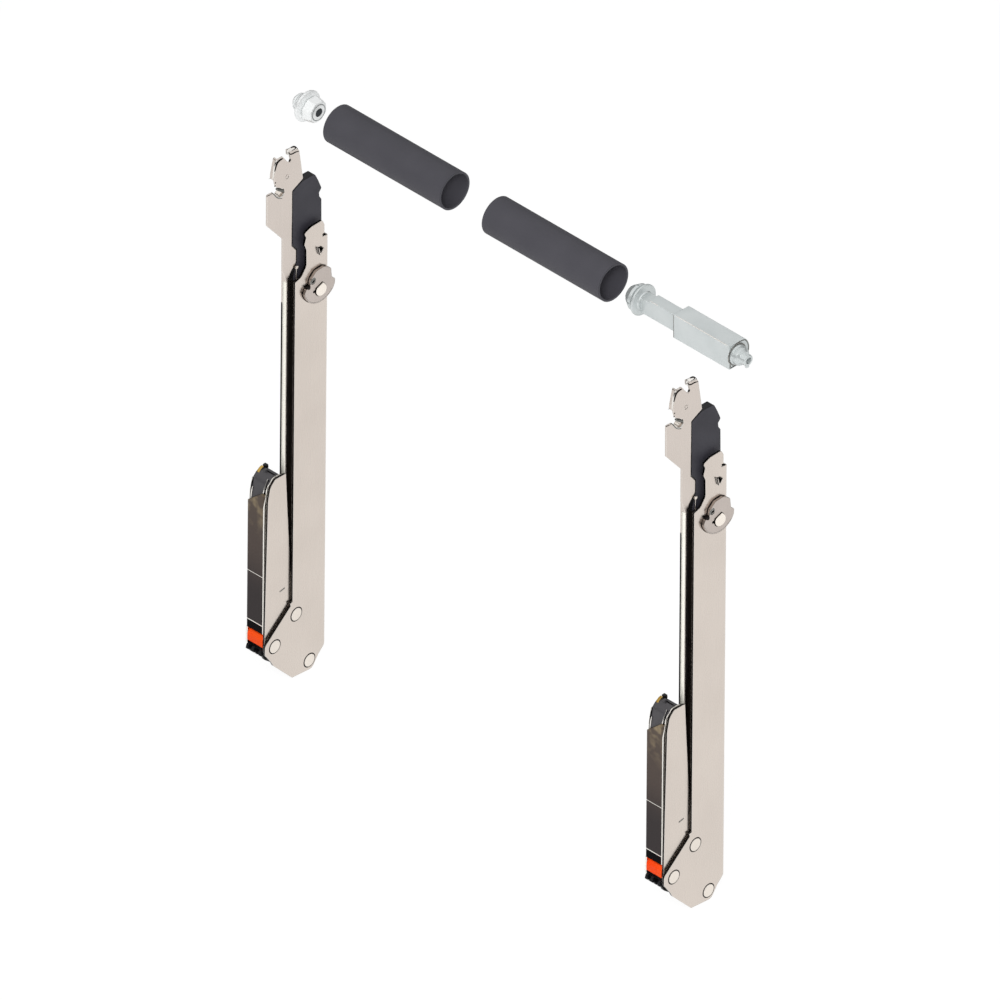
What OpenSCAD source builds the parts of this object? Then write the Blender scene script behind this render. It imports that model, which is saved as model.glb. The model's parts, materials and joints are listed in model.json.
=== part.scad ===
// Lift-up door mechanism: two folded lever arms and the stabiliser rod that ties them together.
// Each arm is measured from the lowest point of its foot: X across the arm, Y from the door inwards, Z up.

/* [Arms] */
// Distance between the two arms along the rod
arm_spacing = 265.6; // [200:0.1:400]
// Lean of the folded arms away from the door
arm_lean = 0.55; // [0:0.05:2]
// Thickness of the lever sheet
sheet_t = 1.2; // [0.8:0.1:1.5]
// Width of the wide lever
wide_w = 22.4; // [20:0.1:24]
// Depth of the wide lever's channel
wide_depth = 9; // [8.4:0.1:10]
// Height of the wide lever's head above the foot
wide_top = 253.3; // [230:0.1:300]
// Outer bend radius of the folded sheet
bend_r = 1.8; // [1.3:0.1:2.4]

/* [Foot] */
// Height of the main pivot above the foot's lowest point
pivot_z = 23.1; // [20:0.1:26]
// Distance of the main pivot from the foot's lowest point, towards the door
pivot_y = 11.7; // [10:0.1:13]
// Radius of the pivot pins
pin_r = 2.5; // [2:0.1:3]
// Radius of the rivet heads on the foot
head_r = 3.3; // [3:0.1:4]
// Height of the rivet heads above the sheet
head_h = 0.2; // [0.1:0.05:0.5]
// Depth of the rivets' seats in the sheet
seat_h = 0.4; // [0.2:0.05:0.6]
// Open ring round each rivet head
seat_gap = 0.35; // [0.2:0.05:0.5]
// Running clearance of a pin in its hole
run_gap = 0.05; // [0.02:0.01:0.1]
// Side clearance between neighbouring plates
side_gap = 0.3; // [0.2:0.05:0.4]

/* [Front bracket] */
// Outside width of the bracket across the arm
bracket_w = 12.4; // [11:0.1:14]
// Length of the bracket above the main pivot
bracket_l = 96.7; // [80:0.1:120]
// Height of the narrow lever's pivot above the main pivot
link_h = 28.8; // [26:0.1:34]
// Offset of the narrow lever's pivot from the main pivot
link_y = 6.2; // [5:0.1:7]
// Thickness of the bracket's dark covers
cover_t = 1.4; // [1:0.1:2]
// Height of the seam between the two covers above the main pivot
cover_seam = 40.2; // [30:0.1:55]

/* [Narrow lever] */
// Thickness of the narrow lever across the arm
narrow_w = 3.4; // [3:0.1:4]
// Depth of the narrow lever's channel
narrow_depth = 3.6; // [3:0.1:3.8]
// Thickness of the narrow lever's sheet
narrow_t = 1; // [0.8:0.05:1.2]
// Height of the narrow lever's head above the wide lever's head
head_rise = 47.1; // [40:0.1:60]

/* [Latch] */
// Thickness of the latch
latch_t = 1.5; // [1:0.1:2]
// Outer radius of the latch
latch_r = 10.8; // [9:0.1:12]

/* [Stabiliser rod] */
// Outer diameter of the rod's tubes
tube_d = 20; // [18:0.1:24]
// Wall of the tubes
tube_wall = 1.1; // [0.8:0.1:2]
// Length of each tube piece
tube_l = 77.6; // [50:0.1:100]
// Height of the rod's axis above the narrow lever's head
rod_rise = 38.8; // [30:0.1:60]
// Width of the shaft across the rod
shaft_w = 6.3; // [5:0.1:7]
// Height of the shaft
shaft_h = 9.5; // [8:0.1:10]
// Radius of the sliding barrel
barrel_r = 8.3; // [7.8:0.1:9.5]
// Length of the sliding barrel
barrel_l = 37; // [30:1:45]
// Travel of the barrel on the shaft
barrel_travel = 12; // [5:1:12]

/* [Hidden] */
$fn = 64;
SIDES = ["left", "right"];
ARM_PIECES = ["wide_lever", "rear_foot_plate", "main_pivot_pin", "foot_rivets", "channel_liner",
              "lever_guard", "guard_clip", "latch", "latch_stud", "narrow_lever", "hook_roller",
              "bracket_cheek", "bracket_channel", "pivot_bush", "link_pin", "upper_cover",
              "lower_cover", "catch_cover", "end_cap", "cap_spring", "release_tab", "tab_axle",
              "door_claws"];
ROD_PIECES = ["rod_adapter", "rod_tube_left", "rod_tube_right", "connector_shaft", "connector_barrel"];

// Plates across the arm: the outer face of the wide lever is at x = 0 and every other plate lies below it
pivot = [-pivot_y, pivot_z];
cheek_x = -sheet_t - side_gap;
cheek_back = cheek_x - sheet_t;
bracket_back = cheek_x - bracket_w;
rear_plate_x = bracket_back - side_gap;
rear_t = 1;
arm_back = rear_plate_x - rear_t;
narrow_x = cheek_back - side_gap;
narrow_back = narrow_x - narrow_w;

// Foot of the wide lever
foot_bottom = -1.3;
foot_corner = [wide_w, 9.8];
fold_z = 43;
stop_rivet = [2.5, 34.8];
spacer_rivet = [11.5, 4.1];
sleeve_r = 3;
rear_cheek_z = fold_z + 5;

// Head of the wide lever
shoulder_z = wide_top - 10.3;
mouth_z = wide_top - 27.3;
latch_axis = [15.5, wide_top - 37];
latch_x = 0.2;
stud_r = 2.4;

// Black guard and liner in the wide lever's channel
liner_edge = 1.6;
liner_wall = 1.5;
liner_low = stop_rivet.y + sleeve_r + 1.5;
liner_top = mouth_z - 1.2;
guard_near = 0.9;
guard_far = wide_w - sheet_t - 1;
guard_w = 4.2;
guard_top = wide_top + 27.3;
clip_y = 2.8;

// Narrow lever, its head and its pivot on the bracket
narrow_top = wide_top + head_rise;
narrow_edge = -2.9;
narrow_far = narrow_edge + narrow_depth;
neck_z = pivot_z + link_h + 12;
web_top = mouth_z + 6;
head_mark = [-2.9, narrow_top - 13.4];
link = [link_y, link_h];
eye_r = 4.2;
link_pin_r = 2;
tab_depth = 2;

// Bracket, drawn from the main pivot along its own length
channel_t = 1;
lip_t = 0.6;
bracket_front = -5.2;
wall_front = bracket_front + cover_t;
boss_r = 5.4;
bush_r = 3.5;
cover_low = 7.6;
cover_high = [bracket_l - 16.7, bracket_l - 9.4];
seam_gap = 0.6;
catch_seam = 12.4;
catch_step = 0.3;
tab_axis = [-3, 4.5];
axle_r = 0.8;

// Stabiliser rod
rod_y = -5;
rod_z = narrow_top + rod_rise;
tube_r = tube_d / 2;
adapter_x = 8;
adapter_l = 15;
adapter_bore_l = 8;
tube_1_x = 35.6;
tube_2_x = 141.2;
connector_x = 231;
shaft_l = 53;
shaft_hold = 20;
barrel_x = connector_x + shaft_l - shaft_hold;
barrel_tip = 8;

// A point of the folded arm, moved to where the arm's lean puts it
function leaned(p) = [
    p.x * cos(arm_lean) + p.y * sin(arm_lean),
    p.y * cos(arm_lean) - p.x * sin(arm_lean)
];

// The frame's origin is the axis of the left latch, on the outer face of its lever
origin = [0, leaned(latch_axis).x, leaned(latch_axis).y];

// A corner b between a and c, rounded by an arc of radius r
function unit(v) = v / norm(v);
function corner_arc(a, b, c, r) =
    r <= 0 ? [b] :
    let (
        n = r < 1 ? 2 : r < 3 ? 4 : 8,
        u = unit(a - b),
        v = unit(c - b),
        half = acos(max(-1, min(1, u * v))) / 2,
        back = min(r / tan(half), 0.49 * min(norm(a - b), norm(c - b))),
        centre = b + unit(u + v) * back / cos(half),
        from = b + u * back - centre,
        to = b + v * back - centre,
        start = atan2(from.y, from.x),
        turn = (atan2(to.y, to.x) - start + 540) % 360 - 180
    )
    [for (i = [0:n]) centre + norm(from) * [cos(start + turn * i / n), sin(start + turn * i / n)]];

// A closed outline from [y, z, radius] corners
function outline(corners) =
    let (count = len(corners))
    [for (i = [0:count - 1])
        let (
            a = corners[(i + count - 1) % count],
            b = corners[i],
            c = corners[(i + 1) % count]
        )
        each corner_arc([a.x, a.y], [b.x, b.y], [c.x, c.y], b.z)];

// Points on an arc, as corners with no rounding
function arc_corners(centre, r, from, to, n = 10) =
    [for (i = [0:n])
        let (angle = from + (to - from) * i / n)
        [centre.x + r * cos(angle), centre.y + r * sin(angle), 0]];

// Lays a drawing of Y and Z on the plane at x and gives it a thickness towards +X
module plate(x, t) {
    translate([x, 0, 0])
        rotate([90, 0, 90])
            linear_extrude(t)
                children();
}

// A round bar along X
module bar(centre, r, x, l) {
    translate([x, centre.x, centre.y])
        rotate([0, 90, 0])
            cylinder(r = r, h = l);
}

// Puts the bracket's own drawing at the main pivot
module on_bracket() {
    translate([0, pivot.x, pivot.y])
        children();
}

// Puts a revolved rod piece on the rod's axis, pointing along +X
module on_rod(x) {
    translate([x, rod_y, rod_z])
        rotate([0, 90, 0])
            children();
}

module place() {
    translate(-origin)
        children();
}

// Wide lever
module wide_outline() {
    polygon(outline([
        [-18.2, 26, 2.5],
        [-18.3, 21.2, 3.5],
        [-14.2, 15.6, 1.5],
        [-12.5, 12.35, 1.5],
        [0, -0.4, 0.6],
        [13.3, foot_bottom, 3],
        [foot_corner.x - 5.2, 4.5, 2],
        [foot_corner.x, foot_corner.y, 1],
        [wide_w, shoulder_z, 0.8],
        [wide_w - 3.2, shoulder_z + 0.8, 0.3],
        [wide_w - 4.5, shoulder_z + 0.8, 0.2],
        [wide_w - 4.5, shoulder_z + 2.4, 0.2],
        [wide_w - 3.2, shoulder_z + 2.4, 0.3],
        [wide_w - 3.2, wide_top - 2.9, 1.5],
        [wide_w - 4.6, wide_top, 1.5],
        [10.4, wide_top - 0.3, 5],
        [5.8, wide_top - 2.1, 1],
        [7.1, wide_top - 4.8, 0.8],
        [6, wide_top - 8.6, 0.8],
        [7.3, wide_top - 11.8, 0.8],
        [7.5, mouth_z + 6.2, 4],
        [4, mouth_z + 1.2, 3],
        [0, mouth_z, 0.5],
        [0, fold_z, 0],
        [-1.6, fold_z - 0.3, 0.3],
        [-1.2, fold_z - 1.9, 0.3]
    ]));
}

// Section of the folded sheet: the outer cheek runs on over the foot, the inner one stops at the edge
module wide_section() {
    inner_r = bend_r - sheet_t;
    polygon(outline([
        [0, -20, 0],
        [0, wide_w, bend_r],
        [-wide_depth, wide_w, bend_r],
        [-wide_depth, 0, 0],
        [-wide_depth + sheet_t, 0, 0],
        [-wide_depth + sheet_t, wide_w - sheet_t, inner_r],
        [-sheet_t, wide_w - sheet_t, inner_r],
        [-sheet_t, -20, 0]
    ]));
}

// Three-cornered tongue punched out of the wide lever's head
module tongue_shape() {
    polygon(outline([
        [14.2, wide_top - 13.6, 0.3],
        [18.4, wide_top - 15.5, 0.3],
        [15.6, wide_top - 19.2, 0.4]
    ]));
}

module wide_lever() {
    tongue_h = 1.2;
    color("#d6cdc4")
    difference() {
        intersection() {
            plate(-wide_depth - 1, wide_depth + 2)
                wide_outline();
            translate([0, 0, foot_bottom - 1])
                linear_extrude(wide_top + 4)
                    wide_section();
        }
        translate([-wide_depth - 1, -20, foot_bottom - 1])
            cube([wide_depth + 1 - sheet_t, 20 + wide_w - sheet_t, rear_cheek_z - foot_bottom + 1]);
        translate([-wide_depth - 1, wide_w - sheet_t - 1, foot_bottom - 1])
            cube([wide_depth + 1 - bend_r, sheet_t + 2, 14]);
        for (hole = [pivot, stop_rivet, spacer_rivet]) {
            bar(hole, pin_r, -sheet_t - 1, sheet_t + 2);
            bar(hole, head_r + seat_gap, -seat_h, seat_h + 1);
        }
        bar(latch_axis, stud_r, -sheet_t - 1, sheet_t + 2);
        plate(-sheet_t - 1, sheet_t + 2)
            tongue_shape();
    }
    color("#d6cdc4")
        plate(-sheet_t, sheet_t + tongue_h)
            difference() {
                tongue_shape();
                translate([0, 1.4])
                    tongue_shape();
            }
}

// Plate on the hidden side of the foot, held off by the rivets' sleeves
module rear_foot_plate() {
    color("#c9c2ba")
    difference() {
        plate(arm_back, rear_t)
            union() {
                translate(pivot)
                    circle(3.7);
                polygon(outline([
                    [pivot.x - 2.6, pivot.y + 2.6, 0],
                    [pivot.x - 2, pivot.y - 3.1, 0],
                    [spacer_rivet.x - 3, foot_bottom + 0.8, 4],
                    [spacer_rivet.x + 6.5, spacer_rivet.y, 5],
                    [stop_rivet.x + 6, stop_rivet.y, 5],
                    [stop_rivet.x, stop_rivet.y + 5.5, 5]
                ]));
            }
        for (hole = [pivot, stop_rivet, spacer_rivet])
            bar(hole, pin_r, arm_back - 1, rear_t + 2);
    }
}

// A rivet through the foot: shank, seated heads and, where the plates are held apart, a sleeve
module foot_rivet(at, sleeve) {
    bar(at, pin_r, arm_back - head_h, head_h * 2 - arm_back);
    bar(at, head_r, -seat_h, seat_h + head_h);
    bar(at, head_r, arm_back - head_h, head_h);
    if (sleeve)
        bar(at, sleeve_r, rear_plate_x, -rear_plate_x - sheet_t);
}

module main_pivot_pin() {
    color("#e4ddd6")
        foot_rivet(pivot, false);
}

module foot_rivets() {
    color("#e4ddd6")
    for (at = [stop_rivet, spacer_rivet])
        foot_rivet(at, true);
}

// Black strip that fills the wide lever's channel between the two levers
module channel_liner() {
    low_x = -wide_depth + sheet_t;
    high_x = -sheet_t;
    color("#1d1c1e")
    translate([0, 0, liner_low])
        linear_extrude(liner_top - liner_low)
            difference() {
                polygon(outline([
                    [low_x, liner_edge, 0.6],
                    [high_x, liner_edge, 0.6],
                    [high_x, guard_far, 0.4],
                    [low_x, guard_far, 0.4]
                ]));
                translate([low_x + liner_wall, liner_edge + liner_wall])
                    square([high_x - low_x - 2 * liner_wall, guard_far - liner_edge]);
            }
}

// Black plastic guard that stands out of the wide lever's head
module lever_guard() {
    boss = 2.5;
    color("#4a494e")
    union() {
        plate(narrow_x - guard_w, guard_w)
            polygon(outline([
                [guard_near, wide_top - 7, 0.8],
                [guard_near, guard_top - 4, 1],
                [guard_near + 6.4, guard_top - 1.2, 0.8],
                [guard_near + 14.6, guard_top - 1.2, 1.5],
                [guard_near + 16.9, guard_top - 5.8, 5],
                [guard_far - 0.2, guard_top - 11.2, 0.8],
                [guard_far - 1.8, guard_top - 13.2, 0.6],
                [guard_far - 1.6, guard_top - 15.4, 0.6],
                [guard_far - 0.2, guard_top - 17.6, 0.6],
                [guard_far, wide_top - 4, 1],
                [guard_far, liner_top, 0],
                [liner_edge, liner_top, 0],
                [liner_edge, mouth_z + 1.2, 0],
                [3.9, mouth_z + 9.2, 2],
                [3.9, wide_top - 11, 1]
            ]));
        for (z = [liner_top + 7, wide_top - 9])
            bar([guard_far - 5, z], boss, narrow_x - 0.01, -sheet_t - narrow_x + 0.01);
    }
}

// Thin steel clip that stands in front of the guard's foot, with a round end
module guard_clip() {
    clip_t = 0.5;
    clip_x = narrow_x + side_gap;
    clip_top = mouth_z + 6.4;
    color("#f0ece6")
    union() {
        translate([narrow_x, clip_y, liner_top])
            cube([side_gap + clip_t, clip_t, 2.4]);
        translate([clip_x, clip_y, liner_top])
            cube([clip_t, clip_t, clip_top - liner_top]);
        bar([clip_y + clip_t / 2, clip_top], 0.9, clip_x, clip_t + 0.3);
    }
}

// Hooked locking latch on the outside of the wide lever's head
module latch() {
    c = latch_axis;
    color("#cfc6bf")
    difference() {
        plate(latch_x, latch_t)
            polygon(outline(concat(
                arc_corners([c.x - 0.3, c.y + 3.2], latch_r, 190, 322, 14),
                [
                    [c.x + 9.2, c.y - 1.4, 1.5],
                    [c.x + 9.4, c.y + 1.2, 1.5],
                    [c.x + 7.2, c.y + 3.2, 1],
                    [c.x + 6.6, c.y + 8.6, 1.2],
                    [c.x + 2.2, c.y + 11.6, 3],
                    [c.x - 3.2, c.y + 11.2, 2],
                    [c.x - 6.6, c.y + 8, 1.5],
                    [c.x - 7.2, c.y + 5, 1],
                    [c.x - 6.8, c.y + 2.2, 0.8],
                    [c.x - 9.6, c.y + 4, 0.6]
                ]
            )));
        bar(c, stud_r + run_gap, latch_x - 1, latch_t + 2);
        bar([c.x - 5, c.y + 6], 1.3, latch_x - 1, latch_t + 2);
    }
}

// Stud that the latch turns on, with a half-round neck and head
module latch_stud() {
    neck_x = latch_x + latch_t - 0.4;
    head_x = latch_x + latch_t + 0.1;
    flat = 1.4;
    color("#f3efe8") {
        bar(latch_axis, stud_r, -sheet_t, neck_x + sheet_t);
        for (part = [[neck_x - 0.01, head_x - neck_x + 0.02, stud_r], [head_x, 0.5, 3.8]])
            plate(part[0], part[1])
                translate(latch_axis)
                    rotate(-38)
                        intersection() {
                            circle(part[2]);
                            translate([-5, -5])
                                square([10, 5 + flat]);
                        }
    }
}

// Outline of the narrow lever's head: stem, hook slot and the two prongs that the lift unit takes
function head_corners() =
    let (top = narrow_top)
    [
        [narrow_edge, web_top - 6, 0],
        [-5.4, web_top + 1.4, 1],
        [-5.5, top - 48.2, 1.5],
        [-16, top - 35.7, 1],
        [-16.1, top - 18.1, 0.6],
        [-12.2, top - 18.3, 0.5],
        [-10.6, top - 20.8, 1],
        [-8.2, top - 22.7, 1.5],
        [-5.6, top - 23, 1.2],
        [-4.6, top - 21.2, 0.8],
        [-5.2, top - 19.4, 0.6],
        [-10.4, top - 16, 0.6],
        [-11.6, top - 11.3, 1],
        [-11.4, top - 8.9, 0.4],
        [-9.5, top - 0.9, 0.8],
        [-5.9, top - 0.7, 0.8],
        [-4.4, top - 2.9, 0.3],
        [-1.5, top - 6.6, 0.4],
        [-0.7, top - 4.7, 0.4],
        [-1.6, top, 0.5],
        [4.3, top - 1.2, 0.6],
        [5, top - 2.5, 0.4],
        [7.6, top - 19.6, 0.5],
        [0.4, top - 23.3, 1],
        [0.4, wide_top - 7.8, 1],
        [3.4, wide_top - 11.6, 0.8],
        [3.4, web_top + 3, 1.5],
        [-0.6, web_top - 1.6, 3],
        [narrow_edge + narrow_t, web_top - 6, 0]
    ];

// Narrow lever: one folded sheet, from the eye on the bracket to the head with its bent tabs
module narrow_lever() {
    eye = pivot + link;
    prong = [[-11.6, narrow_top - 11.6], [-9.5, narrow_top - 0.9]];
    color("#e2ddd8")
    difference() {
        union() {
            translate([narrow_back, narrow_edge, eye.y])
                cube([narrow_w, narrow_t, web_top - eye.y]);
            translate([narrow_back, narrow_edge, eye.y])
                cube([narrow_t, narrow_depth, web_top - eye.y]);
            translate([narrow_back, narrow_edge, eye.y])
                cube([narrow_w, narrow_depth, neck_z - eye.y]);
            bar(eye, eye_r, narrow_back, narrow_w);
            plate(narrow_back, narrow_w)
                polygon(outline([
                    [eye.x - eye_r + 0.4, eye.y, 0],
                    [eye.x + eye_r - 0.4, eye.y, 0],
                    [narrow_far, neck_z - 4, 3],
                    [narrow_far, neck_z, 0],
                    [narrow_edge, neck_z, 0],
                    [narrow_edge, neck_z - 3, 3]
                ]));
            plate(narrow_x - narrow_t, narrow_t)
                polygon(outline(head_corners()));
            plate(narrow_x - narrow_t - tab_depth, tab_depth + 0.1)
                intersection() {
                    polygon(outline(head_corners()));
                    union() {
                        polygon([
                            prong[0] + [-1, -0.2],
                            prong[1] + [-1, 0.4],
                            prong[1] + [0.6, 0.4],
                            prong[1] + [narrow_t - 0.3, -1],
                            prong[0] + [narrow_t, -0.2]
                        ]);
                        translate([-1.2, narrow_top - narrow_t - 0.8])
                            square([6, narrow_t + 2]);
                    }
                }
        }
        translate([narrow_back + narrow_t, narrow_edge + narrow_t, neck_z - 8])
            cube([narrow_w, narrow_depth, web_top - neck_z + 4]);
        bar(eye, link_pin_r + run_gap, narrow_back - 1, narrow_w + 2);
        difference() {
            bar(head_mark, 1.3, narrow_x - 0.3, 1);
            bar(head_mark, 0.8, narrow_x - 0.4, 1);
        }
    }
}

// Steel roller behind the end of the hook slot
module hook_roller() {
    color("#9d9894")
        bar([-5.6, narrow_top - 23.6], 1.9, narrow_x - narrow_t - tab_depth - 1, tab_depth + 1);
}

// Cheek of the bracket, in the bracket's own frame
module cheek_shape() {
    polygon(outline(concat(
        [
            [bracket_front + 0.4, 35.4, 40],
            [bracket_front + 1.5, bracket_l - 12.6, 6],
            [bracket_front + 3, bracket_l - 5.2, 4],
            [bracket_front + 6.1, bracket_l - 2.1, 1],
            [bracket_front + 13.3, bracket_l - 2.1, 0.6],
            [bracket_front + 14.4, 75, 30],
            [bracket_front + 16.9, 35.4, 20],
            [bracket_front + 17.5, 19.4, 0.8],
            [bracket_front + 13.1, 10, 2]
        ],
        arc_corners([0, 0], boss_r, -12, -178, 16)
    )));
}

module bracket_cheek() {
    mark_l = 3.4;
    mark_depth = 0.4;
    mark_turn = -12;
    color("#d6cdc4")
    on_bracket()
        difference() {
            plate(cheek_back, sheet_t)
                cheek_shape();
            bar([0, 0], pin_r + run_gap, cheek_back - 1, sheet_t + 2);
            translate([cheek_x - mark_depth, link.x, link.y])
                rotate([-mark_turn, 0, 0])
                    translate([0, -mark_l / 2, -0.35])
                        cube([1, mark_l, 0.7]);
            bar(tab_axis, axle_r, cheek_back - 1, sheet_t + 2);
        }
}

// Side lip and inner wall of the channel, rounded over towards the upper end
function lip_corners() = [
    [bracket_front, cover_low, 0.5],
    [bracket_front, bracket_l - 16, 8],
    [bracket_front + 2, bracket_l - 5.8, 5],
    [bracket_front + 6, bracket_l - 1.5, 3],
    [bracket_front + 11.6, bracket_l - 1.9, 1],
    [bracket_front + 11.6, bracket_l - 6, 0.5],
    [bracket_front + 5, bracket_l - 6, 3],
    [wall_front + channel_t, bracket_l - 18, 4],
    [wall_front + channel_t, cover_low, 0.5]
];

// Inner channel: far cheek, front wall under the covers and the side lip beside them
module bracket_channel() {
    color("#e6e1da")
    on_bracket()
        difference() {
            union() {
                plate(bracket_back, channel_t)
                    intersection() {
                        cheek_shape();
                        polygon([
                            [bracket_front - 1, -8],
                            [bracket_front - 1, cover_low],
                            [wall_front, cover_low],
                            [wall_front, bracket_l - 20],
                            [bracket_front, bracket_l - 14],
                            [bracket_front, bracket_l - 5],
                            [7, bracket_l - 5],
                            [20, bracket_l - 20],
                            [20, -8]
                        ]);
                    }
                translate([bracket_back, wall_front, cover_low])
                    cube([cheek_back - bracket_back, channel_t, bracket_l - 20 - cover_low]);
                for (z = [catch_seam, cover_seam])
                    translate([bracket_back + 0.4, bracket_front + 0.1, z - seam_gap / 2])
                        cube([cheek_back - bracket_back - 0.4, cover_t, seam_gap]);
                plate(cheek_back - lip_t, lip_t)
                    polygon(outline(lip_corners()));
            }
            bar([0, 0], pin_r + run_gap, bracket_back - 1, channel_t + 2);
            bar(link, link_pin_r, bracket_back - 1, channel_t + 2);
            bar(tab_axis, axle_r, bracket_back - 1, channel_t + 2);
        }
}

// Bush on the main pivot that keeps the bracket's cheeks apart
module pivot_bush() {
    color("#b9b4ad")
    on_bracket()
        difference() {
            bar([0, 0], bush_r, bracket_back + channel_t, cheek_back - bracket_back - channel_t);
            bar([0, 0], pin_r + run_gap, bracket_back, bracket_w);
        }
}

// Pin of the narrow lever with the sleeve that centres it in the bracket
module link_pin() {
    sleeve_end = narrow_back - side_gap;
    color("#c4bfb8")
    on_bracket() {
        bar(link, link_pin_r, bracket_back, cheek_back - bracket_back);
        bar(link, 3.4, bracket_back + channel_t, sleeve_end - bracket_back - channel_t);
    }
}

// A dark cover over part of the bracket's front wall, with rounded long edges
module cover_strip(low, high) {
    high_x = cheek_back - lip_t;
    translate([0, 0, low])
        linear_extrude(high - low)
            polygon(outline([
                [bracket_back, wall_front, 0],
                [bracket_back, bracket_front, 0.7],
                [high_x, bracket_front, 0.4],
                [high_x, wall_front, 0]
            ]));
}

// Volume of the upper cover's outline in front of the channel's wall, with its slanted upper edge
module cover_zone() {
    high_x = cheek_back - lip_t;
    translate([0, wall_front, 0])
        rotate([90, 0, 0])
            linear_extrude(2 * cover_t)
                polygon([
                    [bracket_back, cover_seam],
                    [high_x, cover_seam],
                    [high_x, cover_high[1]],
                    [high_x - 1.4, cover_high[1] + 0.3],
                    [bracket_back, cover_high[0]]
                ]);
}

module upper_cover() {
    color("#4b423d")
    on_bracket()
        intersection() {
            cover_strip(cover_seam + seam_gap / 2, cover_high[1] + 1);
            cover_zone();
        }
}

module lower_cover() {
    color("#2b2726")
    on_bracket()
        cover_strip(catch_seam + seam_gap / 2, cover_seam - seam_gap / 2);
}

// Short housing over the release tab, set back a little from the lower cover
module catch_cover() {
    color("#1f2126")
    on_bracket()
        intersection() {
            cover_strip(cover_low, catch_seam - seam_gap / 2);
            translate([bracket_back, bracket_front + catch_step, cover_low])
                cube([bracket_w, cover_t, catch_seam]);
        }
}

// Profile of the end cap, which stands a little proud of the cheek
module cap_shape() {
    polygon(outline([
        [wall_front + channel_t, cover_high[0] - 2, 0.3],
        [wall_front + channel_t, bracket_l - 20, 0],
        [bracket_front + 0.6, bracket_l - 20, 1],
        [bracket_front + 0.8, bracket_l - 13.5, 6],
        [bracket_front + 3, bracket_l - 3.8, 5],
        [bracket_front + 6.8, bracket_l - 0.9, 2],
        [bracket_front + 11, bracket_l - 2.2, 1],
        [bracket_front + 10.2, bracket_l - 8, 2],
        [bracket_front + 6, cover_high[0] - 2, 1]
    ]));
}

// Black cap that fills the upper end of the bracket between the cheek and the channel
module end_cap() {
    low_x = bracket_back + channel_t;
    color("#565558")
    on_bracket()
        union() {
            difference() {
                plate(low_x, cheek_back - lip_t - low_x)
                    cap_shape();
                cover_zone();
            }
            translate([low_x + 3.4, bracket_front + 6, bracket_l - 2])
                cube([1.6, 1.8, 2]);
        }
}

// Curved leaf spring that lies on the front of the end cap
module cap_spring() {
    spring_t = 0.4;
    color("#c8a45a")
    on_bracket()
        plate(bracket_back + channel_t + 0.6, 2.4)
            intersection() {
                difference() {
                    translate([-spring_t, spring_t / 2])
                        cap_shape();
                    cap_shape();
                }
                translate([bracket_front + 2.4, bracket_l - 5])
                    square([4.4, 6]);
            }
}

// Orange tab that frees the bracket from the door
module release_tab() {
    low_x = bracket_back + channel_t + 0.15;
    high_x = cheek_back - 0.15;
    color("#e8521f")
    on_bracket()
        difference() {
            plate(low_x, high_x - low_x)
                polygon(outline([
                    [tab_axis.x + 1.5, tab_axis.y + 1.5, 1.4],
                    [tab_axis.x - 1.4, tab_axis.y + 2, 1],
                    [tab_axis.x - 2.6, tab_axis.y, 1.5],
                    [tab_axis.x - 2.6, tab_axis.y - 4, 0.4],
                    [tab_axis.x - 1.7, tab_axis.y - 4.1, 0.4],
                    [tab_axis.x - 1.2, tab_axis.y - 1.4, 0.6],
                    [tab_axis.x + 1.5, tab_axis.y - 1.5, 1.4]
                ]));
            bar(tab_axis, axle_r + run_gap, low_x - 1, bracket_w + 2);
        }
}

module tab_axle() {
    color("#c4bfb8")
    on_bracket()
        bar(tab_axis, axle_r, bracket_back, bracket_w);
}

// A claw round the bush, with its hook and, on the near one, a toe that runs on below the boss
function claw_corners(toe) = concat(
    arc_corners([0, 0], 4.1, 60, -60, 8),
    toe ? [
        [1.4, -6.4, 1],
        [1.8, -9.4, 0.6],
        [0.4, -10.6, 0.5],
        [-3.9, -7.2, 3]
    ] : [
        [-1.4, -7.2, 0.8],
        [-4.2, -6.2, 0.5]
    ],
    [
        [-5.2, -4.4, 0.3],
        [-6.9, -3.8, 0.6],
        [-6.2, -1.4, 0.8],
        [-3.9, -0.6, 0.3]
    ],
    arc_corners([0, 0], 4.1, 172, 110, 5)
);

// Sprung claws below the tab that grip the door's plate, with the bar that joins them
module door_claws() {
    claw_t = 1.4;
    tab_room_r = 3;
    near_x = cheek_back - claw_t - 0.2;
    color("#2a2a2d")
    on_bracket() {
        for (x = [bracket_back + 1.3, bracket_back + 4.9, near_x])
            difference() {
                plate(x, claw_t)
                    polygon(outline(claw_corners(x == near_x)));
                bar([0, 0], bush_r, x - 1, claw_t + 2);
                bar(tab_axis, tab_room_r, x - 1, claw_t + 2);
            }
        translate([bracket_back + 1.4, -3.6, -6.4])
            cube([near_x - bracket_back - 1, 1.6, 1.6]);
    }
}

// Slotted snap plug, revolved from its own outline
module snap_plug(corners, slot_w, slot_l) {
    reach = 20;
    difference() {
        rotate_extrude()
            polygon(outline(corners));
        for (turn = [0, 90])
            rotate(turn)
                translate([-reach / 2, -slot_w / 2, -1])
                    cube([reach, slot_w, slot_l + 1]);
    }
}

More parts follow.
